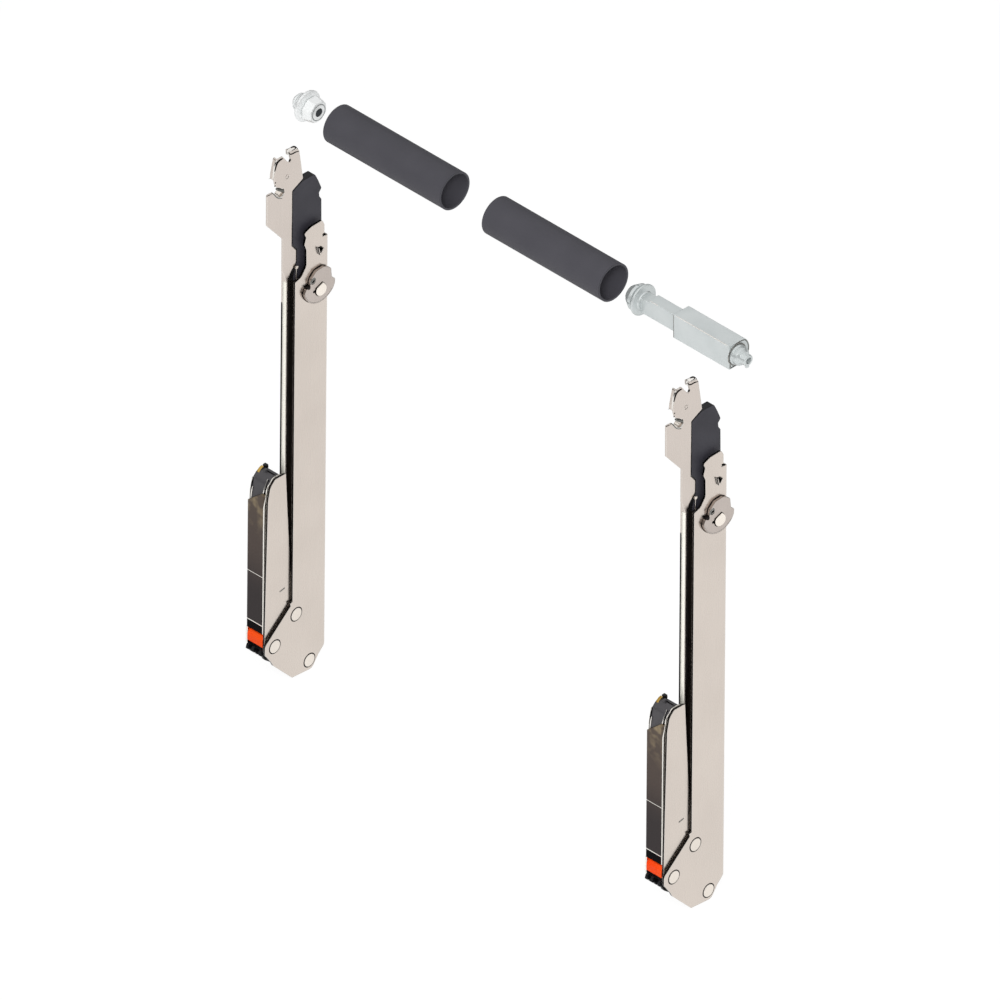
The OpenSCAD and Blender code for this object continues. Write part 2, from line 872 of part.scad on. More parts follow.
// Adapter that joins the rod to the left arm: stepped snap plug, flange and bored collar
module rod_adapter() {
    bore_r = 2.4;
    color("#b4b8ba")
    on_rod(adapter_x)
        difference() {
            union() {
                snap_plug([
                    [0, 0, 0],
                    [3.4, 0, 0.6],
                    [4.4, 1.6, 0.3],
                    [4, 2, 0.2],
                    [5.4, 3.8, 0.3],
                    [5, 4.2, 0.2],
                    [6.2, 6.2, 0.3],
                    [8.1, 6.4, 0.5],
                    [8.1, 7.6, 0.5],
                    [5.8, 11.4, 1.5],
                    [5.2, adapter_l, 0.4],
                    [0, adapter_l, 0]
                ], 0.8, 4.4);
                translate([0, 3.6, 0])
                    rotate([90, 0, 0])
                        linear_extrude(7.2)
                            polygon([
                                [-7.2, 7.4],
                                [-5.9, 12.4],
                                [-3.8, adapter_l - 0.4],
                                [0, adapter_l - 0.4],
                                [0, 7.4]
                            ]);
            }
            translate([0, 0, adapter_l - adapter_bore_l])
                cylinder(r = bore_r, h = adapter_bore_l + 1);
            translate([0, 0, adapter_l - 0.6])
                cylinder(r = bore_r + 1.1, h = 1);
        }
}

module rod_tube(x) {
    color("#57575b")
    on_rod(x)
        difference() {
            cylinder(r = tube_r, h = tube_l);
            translate([0, 0, -1])
                cylinder(r = tube_r - tube_wall, h = tube_l + 2);
        }
}

// Flat-sided shaft with its snap plug and stop flange
module connector_shaft() {
    flange_l = 9.4;
    low_l = 5.4;
    color("#c3c8ca")
    on_rod(connector_x)
        union() {
            snap_plug([
                [0, 0, 0],
                [4.4, 0, 1],
                [7, 4, 0.5],
                [7, 5.4, 0.4],
                [5.4, 6, 0.3],
                [5.4, 7, 0],
                [8.1, 7, 0.3],
                [8.1, 8.2, 0.4],
                [5, 8.6, 0.4],
                [4.6, flange_l, 0],
                [0, flange_l, 0]
            ], 1, 5);
            translate([-shaft_h / 2 + 1.4, -shaft_w / 2, flange_l - 0.01])
                cube([shaft_h - 1.4, shaft_w, low_l]);
            translate([-shaft_h / 2, -shaft_w / 2, flange_l + low_l - 0.02])
                cube([shaft_h, shaft_w, shaft_l - flange_l - low_l]);
        }
}

// Section of the barrel: round at the back, flat on top, below and towards the door
module barrel_section() {
    flat_y = barrel_r * 0.61;
    flat_z = barrel_r * 0.81;
    intersection() {
        circle(barrel_r);
        translate([-flat_z, -flat_y])
            square([2 * flat_z, flat_y + barrel_r]);
    }
}

// Barrel that slides on the shaft, with the round neck and eared tip that enter the arm
module connector_barrel() {
    bore = [shaft_h + 2 * run_gap, shaft_w + 2 * run_gap];
    bore_l = shaft_hold + barrel_travel + 1;
    ear_l = 1.2;
    color("#cdd1d2")
    on_rod(barrel_x)
        difference() {
            union() {
                linear_extrude(barrel_l)
                    barrel_section();
                translate([0, 0, barrel_l - 0.01])
                    rotate_extrude()
                        polygon(outline([
                            [0, 0, 0],
                            [5.2, 0, 0],
                            [5.2, 1, 0.4],
                            [4.7, 1.4, 0.3],
                            [4.7, 3.6, 1],
                            [3.2, 4.8, 0.4],
                            [2.8, barrel_tip, 0.5],
                            [0, barrel_tip, 0]
                        ]));
                translate([-4.2, -0.8, barrel_l + barrel_tip - ear_l - 0.6])
                    cube([8.4, 1.6, ear_l]);
            }
            translate([-bore.x / 2, -bore.y / 2, -1])
                cube([bore.x, bore.y, bore_l + 1]);
            translate([0, 0, barrel_l + barrel_tip - 3])
                cylinder(r = 1.7, h = 4);
        }
}

module arm_piece(piece) {
    if (piece == "wide_lever") wide_lever();
    if (piece == "rear_foot_plate") rear_foot_plate();
    if (piece == "main_pivot_pin") main_pivot_pin();
    if (piece == "foot_rivets") foot_rivets();
    if (piece == "channel_liner") channel_liner();
    if (piece == "lever_guard") lever_guard();
    if (piece == "guard_clip") guard_clip();
    if (piece == "latch") latch();
    if (piece == "latch_stud") latch_stud();
    if (piece == "narrow_lever") narrow_lever();
    if (piece == "hook_roller") hook_roller();
    if (piece == "bracket_cheek") bracket_cheek();
    if (piece == "bracket_channel") bracket_channel();
    if (piece == "pivot_bush") pivot_bush();
    if (piece == "link_pin") link_pin();
    if (piece == "upper_cover") upper_cover();
    if (piece == "lower_cover") lower_cover();
    if (piece == "catch_cover") catch_cover();
    if (piece == "end_cap") end_cap();
    if (piece == "cap_spring") cap_spring();
    if (piece == "release_tab") release_tab();
    if (piece == "tab_axle") tab_axle();
    if (piece == "door_claws") door_claws();
}

for (i = [0:1])
    for (piece = ARM_PIECES)
        place()
                translate([i * arm_spacing, 0, 0])
                    rotate([-arm_lean, 0, 0])
                        arm_piece(piece);
place() rod_adapter();
place() rod_tube(tube_1_x);  // rod_tube_left
place() rod_tube(tube_2_x);  // rod_tube_right
place() connector_shaft();
place() connector_barrel();
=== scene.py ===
import json
import math

import bmesh
import bpy
from mathutils import Matrix, Vector


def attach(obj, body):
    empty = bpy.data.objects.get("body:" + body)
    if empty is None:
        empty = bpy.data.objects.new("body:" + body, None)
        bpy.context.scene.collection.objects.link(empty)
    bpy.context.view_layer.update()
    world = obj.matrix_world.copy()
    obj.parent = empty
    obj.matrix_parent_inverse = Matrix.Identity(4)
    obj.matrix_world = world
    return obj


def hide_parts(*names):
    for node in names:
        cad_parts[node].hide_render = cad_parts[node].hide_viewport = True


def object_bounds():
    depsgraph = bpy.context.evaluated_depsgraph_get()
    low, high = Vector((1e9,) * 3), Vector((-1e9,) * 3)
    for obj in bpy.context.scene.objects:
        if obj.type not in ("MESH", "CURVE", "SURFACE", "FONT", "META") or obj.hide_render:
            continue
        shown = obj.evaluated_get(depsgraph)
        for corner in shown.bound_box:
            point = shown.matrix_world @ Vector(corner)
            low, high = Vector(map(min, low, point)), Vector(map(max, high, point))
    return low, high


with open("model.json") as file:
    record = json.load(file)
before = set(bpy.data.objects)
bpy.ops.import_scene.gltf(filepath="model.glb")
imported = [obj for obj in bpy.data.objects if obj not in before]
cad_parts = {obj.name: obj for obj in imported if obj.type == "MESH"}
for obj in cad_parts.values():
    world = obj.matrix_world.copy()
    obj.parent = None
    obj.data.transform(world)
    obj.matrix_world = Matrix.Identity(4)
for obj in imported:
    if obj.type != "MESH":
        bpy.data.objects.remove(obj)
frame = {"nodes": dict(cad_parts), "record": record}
nodes = frame["nodes"]
cad_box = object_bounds()
scene = bpy.context.scene

# Pieces are drawn in millimetres, and MM turns them into metres
MM = 0.001
SHARP_ANGLE = 40

# Where the two arms and the parts of the cross rod stand in the shared frame
ARM_X = {"left": 0.0, "right": 265.6}
ARM_ORIGIN = (-17.5756, -216.141)
ARM_LEAN = -0.55
ROD_AXIS = (-22.5756, 123.059)
ADAPTER_X = 8
SHAFT_X = 231
BARREL_X = 264

# Places in an arm's own upright frame, as (y, z)
MAIN_PIVOT = (-11.7, 23.1)
FOOT_RIVETS = [MAIN_PIVOT, (2.5, 34.8), (11.5, 4.1)]
LATCH = (15.5, 216.3)
HEAD_TOP = (0, 300.4)

# The middle of the latch's rim from its stud, and the faces that details are laid on, as x
RIM_MIDDLE = (-0.3, 3.2)
LATCH_FACE = 1.68
NARROW_FACE = -3.04
CAP_FAR_SIDE = -12.8


# Sockets and node groups

def new_group(name, inputs, outputs):
    """A shader node group with its named sockets, its input node and its output node."""
    tree = bpy.data.node_groups.new(name, "ShaderNodeTree")
    for label, value in inputs:
        socket = tree.interface.new_socket(name=label, in_out="INPUT",
                                           socket_type="NodeSocketFloat")
        socket.default_value = value
    for label, kind in outputs:
        tree.interface.new_socket(name=label, in_out="OUTPUT", socket_type=kind)
    return tree, tree.nodes.new("NodeGroupInput"), tree.nodes.new("NodeGroupOutput")


def use_group(tree, group, **values):
    """A shared node group placed in a material, with that material's own values."""
    node = tree.nodes.new("ShaderNodeGroup")
    node.node_tree = group
    for name, value in values.items():
        node.inputs[name.replace("_", " ").title()].default_value = value
    return node


def add(tree, kind, values=None, **settings):
    """A node with its settings and the values of its unlinked inputs."""
    node = tree.nodes.new(kind)
    for name, value in settings.items():
        setattr(node, name, value)
    for name, value in (values or {}).items():
        node.inputs[name].default_value = value
    return node


def maths(tree, operation, a, b=None):
    """A Math node; a and b are numbers or output sockets."""
    node = add(tree, "ShaderNodeMath", operation=operation)
    for i, value in enumerate((a, b)):
        if value is None:
            continue
        if isinstance(value, (int, float)):
            node.inputs[i].default_value = value
        else:
            tree.links.new(value, node.inputs[i])
    return node.outputs[0]


def clamped(tree, value):
    """A value held between 0 and 1."""
    clamp = add(tree, "ShaderNodeClamp")
    tree.links.new(value, clamp.inputs[0])
    return clamp.outputs[0]


def object_place(tree):
    """The spot on the surface, in the metres of the shared frame."""
    return add(tree, "ShaderNodeTexCoord").outputs["Object"]


def axes_of(tree, vector):
    """The X, Y and Z outputs of a vector."""
    parts = add(tree, "ShaderNodeSeparateXYZ")
    tree.links.new(vector, parts.inputs[0])
    return parts.outputs


def sheet_grain_group():
    """Fine drawn lines along Z, as rolling leaves them in sheet steel, and slow clouds of tone."""
    tree, put, get = new_group(
        "sheet_grain",
        [("Line Width", 0.0005), ("Line Length", 0.02), ("Cloud Size", 0.03)],
        [("Lines", "NodeSocketFloat"), ("Clouds", "NodeSocketFloat")])
    place = object_place(tree)
    wide = maths(tree, "DIVIDE", 1.0, put.outputs["Line Width"])
    long = maths(tree, "DIVIDE", 1.0, put.outputs["Line Length"])
    scale = add(tree, "ShaderNodeCombineXYZ")
    for axis, size in (("X", wide), ("Y", wide), ("Z", long)):
        tree.links.new(size, scale.inputs[axis])
    stretch = add(tree, "ShaderNodeVectorMath", operation="MULTIPLY")
    tree.links.new(place, stretch.inputs[0])
    tree.links.new(scale.outputs[0], stretch.inputs[1])
    lines = add(tree, "ShaderNodeTexNoise", {"Scale": 1.0, "Detail": 3.0, "Roughness": 0.6})
    tree.links.new(stretch.outputs[0], lines.inputs["Vector"])
    tree.links.new(lines.outputs[0], get.inputs["Lines"])
    clouds = add(tree, "ShaderNodeTexNoise", {"Detail": 2.0, "Roughness": 0.5})
    tree.links.new(place, clouds.inputs["Vector"])
    tree.links.new(maths(tree, "DIVIDE", 1.0, put.outputs["Cloud Size"]), clouds.inputs["Scale"])
    tree.links.new(clouds.outputs[0], get.inputs["Clouds"])
    return tree


def moulded_skin_group():
    """Fine pebbled skin of a spark-eroded mould, with a slower unevenness under it."""
    tree, put, get = new_group(
        "moulded_skin",
        [("Pebble Size", 0.0004), ("Flow Size", 0.012)],
        [("Pebbles", "NodeSocketFloat"), ("Flow", "NodeSocketFloat")])
    place = object_place(tree)
    pebbles = add(tree, "ShaderNodeTexNoise", {"Detail": 2.0, "Roughness": 0.55})
    flow = add(tree, "ShaderNodeTexNoise", {"Detail": 1.0, "Roughness": 0.4})
    for node, size, out in ((pebbles, "Pebble Size", "Pebbles"), (flow, "Flow Size", "Flow")):
        tree.links.new(place, node.inputs["Vector"])
        tree.links.new(maths(tree, "DIVIDE", 1.0, put.outputs[size]), node.inputs["Scale"])
        tree.links.new(node.outputs[0], get.inputs[out])
    return tree


def broken_edge_group():
    """Normal that rounds over sharp edges, and a mask of the thin line along them, where a painted
    highlight or painted shade is laid.
    """
    tree, put, get = new_group(
        "broken_edge",
        [("Radius", 0.0004), ("Rub", 4.0)],
        [("Normal", "NodeSocketVector"), ("Edge", "NodeSocketFloat")])
    bevel = add(tree, "ShaderNodeBevel", samples=6)
    tree.links.new(put.outputs["Radius"], bevel.inputs["Radius"])
    shape = add(tree, "ShaderNodeNewGeometry")
    dot = add(tree, "ShaderNodeVectorMath", operation="DOT_PRODUCT")
    tree.links.new(bevel.outputs[0], dot.inputs[0])
    tree.links.new(shape.outputs["Normal"], dot.inputs[1])
    bent = maths(tree, "SUBTRACT", 1.0, dot.outputs["Value"])
    # Strength of the painted highlight or painted shade along the edges
    rim_shading = maths(tree, "MULTIPLY", bent, put.outputs["Rub"])
    tree.links.new(bevel.outputs[0], get.inputs["Normal"])
    tree.links.new(clamped(tree, rim_shading), get.inputs["Edge"])
    return tree


def sheared_edge_group():
    """Mask of the faces that the shears cut across the sheet, up to the folded back wall."""
    tree, put, get = new_group(
        "sheared_edge", [("Back Wall", 1.0)], [("Cut", "NodeSocketFloat")])
    shape = add(tree, "ShaderNodeNewGeometry")
    facing = axes_of(tree, shape.outputs["True Normal"])
    across = maths(tree, "LESS_THAN", maths(tree, "ABSOLUTE", facing["X"]), 0.5)
    spot = axes_of(tree, object_place(tree))
    before = maths(tree, "LESS_THAN", spot["Y"], put.outputs["Back Wall"])
    tree.links.new(maths(tree, "MULTIPLY", across, before), get.inputs["Cut"])
    return tree


def height_fade_group():
    """0 at the low height and 1 at the high one, in metres of the shared frame."""
    tree, put, get = new_group(
        "height_fade", [("Low", 0.0), ("High", 0.1)], [("Fade", "NodeSocketFloat")])
    spot = axes_of(tree, object_place(tree))
    fade = add(tree, "ShaderNodeMapRange", interpolation_type="SMOOTHSTEP")
    tree.links.new(spot["Z"], fade.inputs["Value"])
    tree.links.new(put.outputs["Low"], fade.inputs["From Min"])
    tree.links.new(put.outputs["High"], fade.inputs["From Max"])
    tree.links.new(fade.outputs["Result"], get.inputs["Fade"])
    return tree


SHEET_GRAIN = sheet_grain_group()
MOULDED_SKIN = moulded_skin_group()
BROKEN_EDGE = broken_edge_group()
SHEARED_EDGE = sheared_edge_group()
HEIGHT_FADE = height_fade_group()


# Finishes

def srgb(red, green, blue):
    """Linear colour of 0 to 255 screen values."""
    def linear(value):
        value = value / 255
        return value / 12.92 if value <= 0.04045 else ((value + 0.055) / 1.055) ** 2.4
    return (linear(red), linear(green), linear(blue), 1.0)


def blend_colours(tree, factor, a, b):
    """Mixes two colours, each a tuple or an output socket, by a factor socket."""
    first, second, mixed = 6, 7, 2  # places of the node's colour sockets
    mix = add(tree, "ShaderNodeMix", data_type="RGBA")
    tree.links.new(factor, mix.inputs[0])
    for i, colour in ((first, a), (second, b)):
        if isinstance(colour, tuple):
            mix.inputs[i].default_value = colour
        else:
            tree.links.new(colour, mix.inputs[i])
    return mix.outputs[mixed]


def spread(tree, value, low, high):
    """Maps a noise value, which lies mostly between 0.3 and 0.7, on to low to high."""
    node = add(tree, "ShaderNodeMapRange",
               {"From Min": 0.3, "From Max": 0.7, "To Min": low, "To Max": high})
    tree.links.new(value, node.inputs["Value"])
    return node.outputs["Result"]


def new_finish(name, **sockets):
    """A material with a Principled shader whose plain values are set on its own sockets."""
    finish = bpy.data.materials.new(name)
    finish.use_nodes = True
    tree = finish.node_tree
    shader = tree.nodes["Principled BSDF"]
    for label, value in sockets.items():
        shader.inputs[label.replace("_", " ")].default_value = value
    return finish, tree, shader


def shape_surface(tree, shader, colour, height, edge, roughness, strength, depth):
    """Links colour, roughness and a bump laid over the rounded edge to the shader."""
    tree.links.new(colour, shader.inputs["Base Color"])
    tree.links.new(spread(tree, height, *roughness), shader.inputs["Roughness"])
    bump = add(tree, "ShaderNodeBump", {"Strength": strength, "Distance": depth * MM})
    tree.links.new(height, bump.inputs["Height"])
    tree.links.new(edge.outputs["Normal"], bump.inputs["Normal"])
    tree.links.new(bump.outputs[0], shader.inputs["Normal"])


def plated_steel(name, light, dark, rough, radius=0.0004, rub=2.5, cut=None, back_wall=1.0,
                 edge_tone=srgb(250, 246, 240)):
    """Plated sheet: drawn lines, slow clouds of tone, edges painted with edge_tone as a highlight
    or shade, and darker cut faces.
    """
    finish, tree, shader = new_finish(name, Metallic=1.0)
    grain = use_group(tree, SHEET_GRAIN)
    edge = use_group(tree, BROKEN_EDGE, radius=radius, rub=rub)
    tone = blend_colours(tree, spread(tree, grain.outputs["Clouds"], 0.0, 1.0), dark, light)
    if cut:
        sheared = use_group(tree, SHEARED_EDGE, back_wall=back_wall)
        tone = blend_colours(tree, sheared.outputs["Cut"], tone, cut)
    # Painted highlight or painted shade along the edges; by default a near-white painted highlight
    tone = blend_colours(tree, edge.outputs["Edge"], tone, edge_tone)
    shape_surface(tree, shader, tone, grain.outputs["Lines"], edge,
                  (rough - 0.05, rough + 0.06), strength=0.25, depth=0.02)
    return finish


def moulded_plastic(name, light, dark, rough, pebble=0.0004, depth=0.01, radius=0.0005,
                    edge_tone=None, cut=None, **sockets):
    """Moulding or casting: pebbled skin, slow flow tone and softly rounded edges, painted with
    edge_tone as a highlight or shade.
    """
    finish, tree, shader = new_finish(name, **sockets)
    skin = use_group(tree, MOULDED_SKIN, pebble_size=pebble)
    edge = use_group(tree, BROKEN_EDGE, radius=radius, rub=1.6)
    tone = blend_colours(tree, spread(tree, skin.outputs["Flow"], 0.0, 1.0), dark, light)
    # Painted highlight or painted shade along the edges
    tone = blend_colours(tree, edge.outputs["Edge"], tone, edge_tone or light)
    if cut:
        sheared = use_group(tree, SHEARED_EDGE)
        tone = blend_colours(tree, sheared.outputs["Cut"], tone, cut)
    shape_surface(tree, shader, tone, skin.outputs["Pebbles"], edge,
                  (rough - 0.05, rough + 0.05), strength=0.35, depth=depth)
    return finish


def glossy_cover(name, top, middle, low, heights):
    """Dark moulding, lighter and browner towards its top as a painted sheen, with lighter streaks
    in its upper part.
    """
    finish, tree, shader = new_finish(name, Specular_IOR_Level=0.18)
    skin = use_group(tree, MOULDED_SKIN, pebble_size=0.0003, flow_size=0.004)
    edge = use_group(tree, BROKEN_EDGE, radius=0.0004, rub=1.5)
    upper = use_group(tree, HEIGHT_FADE, low=heights[1], high=heights[2]).outputs["Fade"]
    lower = use_group(tree, HEIGHT_FADE, low=heights[0], high=heights[1]).outputs["Fade"]
    # The fade to the lighter brown top is a painted sheen
    tone = blend_colours(tree, lower, low, middle)
    tone = blend_colours(tree, upper, tone, top)
    streak = maths(tree, "MULTIPLY", spread(tree, skin.outputs["Flow"], -0.5, 1.2), upper)
    tone = blend_colours(tree, clamped(tree, streak), tone, srgb(146, 130, 102))
    # Near-black painted shade along the edges
    tone = blend_colours(tree, edge.outputs["Edge"], tone, srgb(20, 18, 18))
    shape_surface(tree, shader, tone, skin.outputs["Pebbles"], edge,
                  (0.32, 0.42), strength=0.2, depth=0.006)
    return finish


# The steel of the wide levers and the brackets, its sheared edges darker cut steel deepened to
# near black as painted shade
NICKEL = (srgb(216, 206, 197), srgb(211, 201, 192), 0.24)
CUT_DARK_AND_SHADE = srgb(30, 26, 25)
LEVER_STEEL = plated_steel("lever_steel", *NICKEL, cut=CUT_DARK_AND_SHADE, back_wall=0.0034)
CHEEK_STEEL = plated_steel("cheek_steel", *NICKEL, cut=CUT_DARK_AND_SHADE)
# The latch's edges are painted with a dark shade as its outline
LATCH_STEEL = plated_steel("latch_steel", srgb(201, 191, 184), srgb(193, 183, 176), 0.36, rub=5.0,
                           cut=srgb(186, 174, 166), edge_tone=srgb(112, 101, 94))
NARROW_STEEL = plated_steel("narrow_steel", srgb(213, 203, 195), srgb(209, 199, 191), 0.24)
CHANNEL_STEEL = plated_steel("channel_steel", srgb(250, 246, 238), srgb(236, 232, 224), 0.22)
RIVET_STEEL = plated_steel("rivet_steel", srgb(240, 232, 222), srgb(228, 219, 209), 0.3,
                           radius=0.0003)
# Lighter, glossier copy of the plated steel for the beads on bends and edges; its lighter colour
# is a painted highlight
BEND_STEEL = plated_steel("bend_steel", srgb(246, 243, 238), srgb(226, 222, 216), 0.12, rub=0.5)
# Dark grey steel for lines of painted shade in creases, grooves, recesses and round the latch's
# rim
SHADE_LINE_STEEL = plated_steel("painted_line_shade", srgb(122, 122, 118), srgb(84, 86, 83), 0.3)
STUD_STEEL = plated_steel("stud_steel", srgb(252, 244, 234), srgb(240, 231, 220), 0.24,
                          radius=0.0003)
BRASS = plated_steel("spring_brass", srgb(206, 172, 96), srgb(170, 136, 66), 0.3, rub=1.0)
# Near-white copy of the steel, a painted highlight on the narrow lever's stem
STEM_SHEEN = moulded_plastic("stem_painted_sheen", srgb(255, 253, 242), srgb(250, 247, 235), 0.3,
                               depth=0.002, Metallic=0.35)

# A slightly lighter painted highlight along the liner's edges
LINER_PLASTIC = moulded_plastic("liner_plastic", srgb(22, 17, 13), srgb(11, 8, 7), 0.5,
                                edge_tone=srgb(34, 29, 25), Specular_IOR_Level=0.12)
# Dark painted shade along the guard's edges and near-black painted shade on its cut faces
GUARD_PLASTIC = moulded_plastic("guard_plastic", srgb(60, 59, 66), srgb(52, 51, 58), 0.55,
                                edge_tone=srgb(18, 17, 20), cut=srgb(10, 10, 13),
                                Specular_IOR_Level=0.3)
COVER_PLASTIC = glossy_cover("cover_plastic", srgb(86, 74, 64), srgb(74, 62, 56),
                             srgb(42, 34, 34), (-0.165, -0.135, -0.1))
CATCH_PLASTIC = moulded_plastic("catch_plastic", srgb(12, 10, 12), srgb(7, 6, 8), 0.5,
                                edge_tone=srgb(20, 18, 20), Specular_IOR_Level=0.03)
# Dark painted shade along the cap's edges
CAP_PLASTIC = moulded_plastic("cap_plastic", srgb(70, 68, 71), srgb(60, 58, 61), 0.42,
                              edge_tone=srgb(20, 20, 22))
CLAW_PLASTIC = moulded_plastic("claw_plastic", srgb(20, 20, 22), srgb(12, 12, 14), 0.3,
                               Specular_IOR_Level=0.2)
# A lighter painted highlight along the tab's edges
TAB_PLASTIC = moulded_plastic("tab_plastic", srgb(255, 84, 20), srgb(250, 70, 12), 0.4,
                              edge_tone=srgb(255, 120, 60), Specular_IOR_Level=0.12)
# Dark brown for painted shade in seams, creases, contact lines and rings round rivets
SEAM_SHADE = moulded_plastic("painted_seam_shade", srgb(34, 30, 29), srgb(22, 19, 18), 0.6,
                             Specular_IOR_Level=0.1)
# Near black for painted shade in recesses, notches, folds and along the cap's edges
RECESS_SHADE = moulded_plastic("painted_recess_shade", srgb(10, 9, 9), srgb(6, 6, 6), 0.8,
                              Specular_IOR_Level=0.05)

# Dark painted shade along the tube's edges
TUBE_PAINT = moulded_plastic("tube_paint", srgb(76, 75, 81), srgb(73, 72, 78), 0.62,
                             pebble=0.0003, edge_tone=srgb(40, 39, 43), Specular_IOR_Level=0.25)
# Near-white painted highlight along the adapter's edges
ADAPTER_ZINC = moulded_plastic("adapter_zinc", srgb(246, 248, 248), srgb(240, 242, 242), 0.34,
                               pebble=0.004, depth=0.0004, radius=0.00003,
                               edge_tone=srgb(250, 252, 252), Metallic=0.3)
# Darker copy of the zinc, painted shade in the adapter's groove
ADAPTER_SHADE = moulded_plastic("zinc_shade", srgb(158, 161, 161), srgb(146, 149, 149), 0.5,
                                Metallic=0.3)
# Dark grey disc of painted shade over the adapter's bore
BORE_SHADE = moulded_plastic("painted_bore_shade", srgb(62, 65, 68), srgb(52, 55, 58), 0.6,
                            Specular_IOR_Level=0.1)
# Near-white painted highlight along the connector's edges
CONNECTOR_ZINC = moulded_plastic("connector_zinc", srgb(206, 211, 211), srgb(198, 204, 204), 0.34,
                                 pebble=0.004, depth=0.0006, radius=0.0003,
                                 edge_tone=srgb(244, 248, 248), Metallic=0.5)

# The finish of each of the record's material slots, and of the pieces that have one of their own
SLOT_FINISHES = {
    "nickel_steel": NARROW_STEEL,
    "bright_steel": CHANNEL_STEEL,
    "rivet_steel": RIVET_STEEL,
    "black_liner": LINER_PLASTIC,
    "black_guard": GUARD_PLASTIC,
    "dark_cover": COVER_PLASTIC,
    "grey_cap": CAP_PLASTIC,
    "brass_spring": BRASS,
    "orange_tab": TAB_PLASTIC,
    "dark_tube": TUBE_PAINT,
    "grey_adapter": ADAPTER_ZINC,
    "pale_connector": CONNECTOR_ZINC,
}
PIECE_FINISHES = {
    "wide_lever": LEVER_STEEL,
    "rear_foot_plate": CHEEK_STEEL,
    "bracket_cheek": CHEEK_STEEL,
    "latch": LATCH_STEEL,
    "catch_cover": CATCH_PLASTIC,
    "door_claws": CLAW_PLASTIC,
}

# Finish and slot of the fitted details
STUD_METAL = (STUD_STEEL, "rivet_steel")
# Bends whose lighter steel is a painted highlight
BRIGHT_BEND = (BEND_STEEL, "bright_steel")
# Grey lines of painted shade
GREY_SHADE_LINE = (SHADE_LINE_STEEL, "nickel_steel")
# Dark lines of painted shade
SHADE_LINE = (SEAM_SHADE, "black_liner")
# Near-black painted shade
DEEP_SHADE = (RECESS_SHADE, "black_liner")
ADAPTER_METAL = (ADAPTER_ZINC, "grey_adapter")
# Lines of painted shade on the barrel
BARREL_SHADE = (SHADE_LINE_STEEL, "pale_connector")
BARREL_SHINE = (BEND_STEEL, "pale_connector")


def dress_cad_nodes():
    """Gives each CAD node the finish of its piece, or else of its slot."""
    for part in frame["record"]["subparts"]:
        mesh = nodes[part["node"]].data
        piece = part["node"].split("_", 1)[1]
        mesh.materials.clear()
        mesh.materials.append(PIECE_FINISHES.get(piece, SLOT_FINISHES[part["material_slot"]]))


# Ways to make a piece, drawn in millimetres

def arm_frame(side, bracket=False):
    """From one arm's own upright frame, or its bracket's, to the shared frame."""
    place = Matrix.Translation(Vector((ARM_X[side], *ARM_ORIGIN)) * MM)
    place = place @ Matrix.Rotation(math.radians(ARM_LEAN), 4, "X") @ Matrix.Scale(MM, 4)
    return place @ Matrix.Translation((0, *MAIN_PIVOT)) if bracket else place


def rod_frame(x):
    """From the cross rod's own frame, at x along it, to the shared frame."""
    return Matrix.Translation(Vector((x, *ROD_AXIS)) * MM) @ Matrix.Scale(MM, 4)


def fit_piece(name, mesh, place, look, body, stands_for):
    """Sets a mesh in its place with its finish and the body that it rides on."""
    finish, slot = look
    mesh.transform(place)
    for face in mesh.polygons:
        face.use_smooth = True
    mesh.set_sharp_from_angle(angle=math.radians(SHARP_ANGLE))
    mesh.materials.clear()
    mesh.materials.append(finish)
    piece = bpy.data.objects.new(name, mesh)
    scene.collection.objects.link(piece)
    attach(piece, body)
    if stands_for:
        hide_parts(stands_for)


def curve_mesh(name, curve):
    """Mesh of a curve, which is then removed."""
    holder = bpy.data.objects.new(name + "_curve", curve)
    scene.collection.objects.link(holder)
    bpy.context.view_layer.update()
    shaped = holder.evaluated_get(bpy.context.evaluated_depsgraph_get())
    mesh = bpy.data.meshes.new_from_object(shaped)
    bpy.data.objects.remove(holder)
    bpy.data.curves.remove(curve)
    return mesh


def plate(name, place, rings, look, body, x, thick, edge, stands_for=None):
    """Flat plate from x onwards, cut to outlines in (y, z), with its edges rounded by edge."""
    curve = bpy.data.curves.new(name, "CURVE")
    curve.dimensions = "2D"
    curve.fill_mode = "BOTH"
    curve.extrude = thick / 2 - edge
    curve.bevel_depth = edge
    curve.bevel_resolution = 2
    curve.offset = -edge
    for ring in rings:
        spline = curve.splines.new("POLY")
        spline.points.add(len(ring) - 1)
        for point, (y, z) in zip(spline.points, ring):
            point.co = (y, z, 0, 1)
        spline.use_cyclic_u = True
    stand = Matrix(((0, 0, 1, x + thick / 2), (1, 0, 0, 0), (0, 1, 0, 0), (0, 0, 0, 1)))
    fit_piece(name, curve_mesh(name, curve), place @ stand, look, body, stands_for)


def bead(name, place, points, look, body):
    """Rounded bead through points of (x, y, z, radius)."""
    curve = bpy.data.curves.new(name, "CURVE")
    curve.dimensions = "3D"
    curve.bevel_depth = 1
    curve.bevel_resolution = 4
    curve.use_fill_caps = True
    curve.resolution_u = 6
    spline = curve.splines.new("NURBS")
    spline.points.add(len(points) - 1)
    for point, (x, y, z, radius) in zip(spline.points, points):
        point.co = (x, y, z, 1)
        point.radius = radius
    spline.order_u = 3
    spline.use_endpoint_u = True
    fit_piece(name, curve_mesh(name, curve), place, look, body, None)


